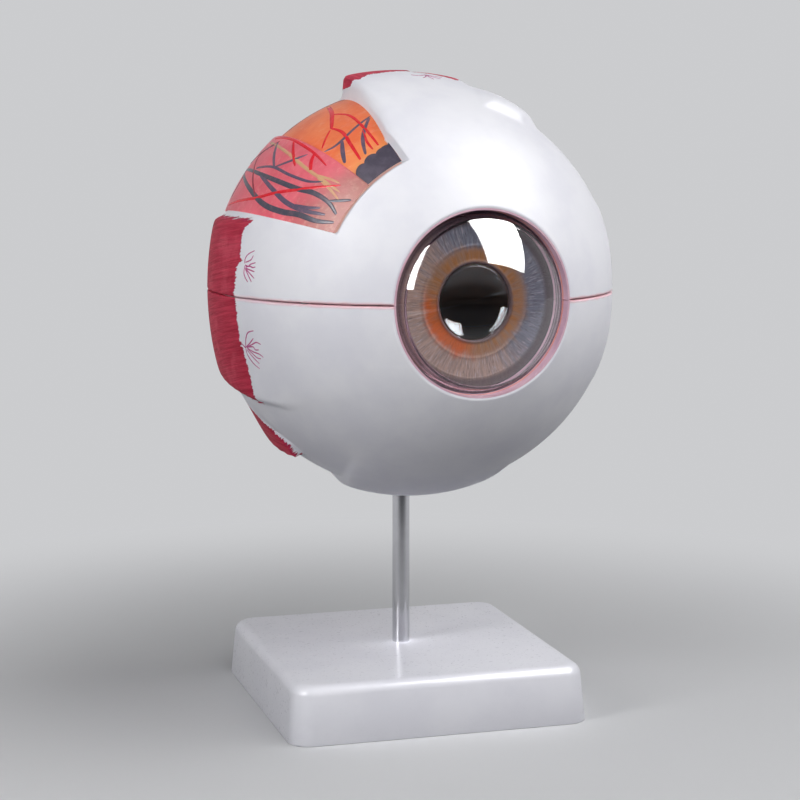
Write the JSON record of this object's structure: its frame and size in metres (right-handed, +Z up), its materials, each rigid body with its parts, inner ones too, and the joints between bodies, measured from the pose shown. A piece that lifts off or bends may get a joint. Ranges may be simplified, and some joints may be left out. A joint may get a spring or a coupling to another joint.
{
  "type": "eye anatomy model",
  "caption": "Enlarged human eye model on a rod and square stand: white ball in two halves with muscle stumps, a layered window, clear cornea, iris, lens and vitreous body.",
  "frame": {"origin": "on the table, on the axis of the rod, at the middle of the stand's square", "axes": "+Z up along the rod, -Y towards the front edge of the stand, +X towards the nose side of the eye; the eye itself is turned 4.6 degrees about the rod"},
  "size_m": [0.1466, 0.1676, 0.2321],
  "materials": {
    "white_plastic": "gloss",
    "steel": "polished",
    "brass": "satin",
    "coat_pink": "satin",
    "coat_orange": "satin",
    "window_pink": "gloss",
    "window_orange": "gloss",
    "dark_rim": "satin",
    "nerve_cream": "satin",
    "nerve_yellow": "satin",
    "vessel_red": "gloss",
    "vessel_blue": "gloss",
    "iris_print": "satin",
    "ciliary_dark": "satin",
    "clear": "gloss"
  },
  "bodies": {
    "stand": {"base": "white_plastic", "rod": "steel", "rod_washer": "steel", "rod_screw": "steel"},
    "globe_lower": {"sclera_lower": "white_plastic", "choroid_lower": "coat_pink", "retina_lower": "coat_orange", "rod_bush": "brass", "seam_pins": "steel", "nerve_sheath": "nerve_cream", "nerve_core": "nerve_yellow", "central_artery": "vessel_red", "central_vein": "vessel_blue"},
    "globe_upper": {"sclera_upper": "white_plastic", "choroid_upper": "coat_pink", "retina_upper": "coat_orange", "choroid_window": "window_pink", "retina_window": "window_orange", "ora_window": "dark_rim"},
    "cornea": {"cornea": "clear"},
    "iris": {"iris": "iris_print", "ciliary_ring": "ciliary_dark"},
    "lens": {"lens": "clear"},
    "vitreous": {"vitreous_front": "clear", "vitreous_back": "clear"}
  },
  "joints": [
    {"name": "globe_swivel", "type": "hinge", "parent": "stand", "child": "globe_lower", "pos_m": [0, 0, 0.08], "axis": [0, 0, 1], "continuous": true},
    {"name": "upper_lift", "type": "slide", "parent": "globe_lower", "child": "globe_upper", "axis": [0, 0, 1], "range_m": [0, 0.15]},
    {"name": "vitreous_lift", "type": "slide", "parent": "globe_lower", "child": "vitreous", "axis": [0, 0, 1], "range_m": [0, 0.0675]},
    {"name": "cornea_draw", "type": "slide", "parent": "globe_lower", "child": "cornea", "axis": [0.0802, -0.9968, 0], "range_m": [0, 0.09]},
    {"name": "iris_draw", "type": "slide", "parent": "vitreous", "child": "iris", "axis": [0.0802, -0.9968, 0], "range_m": [0, 0.063]},
    {"name": "lens_draw", "type": "slide", "parent": "vitreous", "child": "lens", "axis": [0.0802, -0.9968, 0], "range_m": [0, 0.036]}
  ],
  "couplings": [
    {"joint": "vitreous_lift", "follows": "upper_lift", "ratio": 0.45},
    {"joint": "iris_draw", "follows": "cornea_draw", "ratio": 0.7},
    {"joint": "lens_draw", "follows": "cornea_draw", "ratio": 0.4}
  ]
}
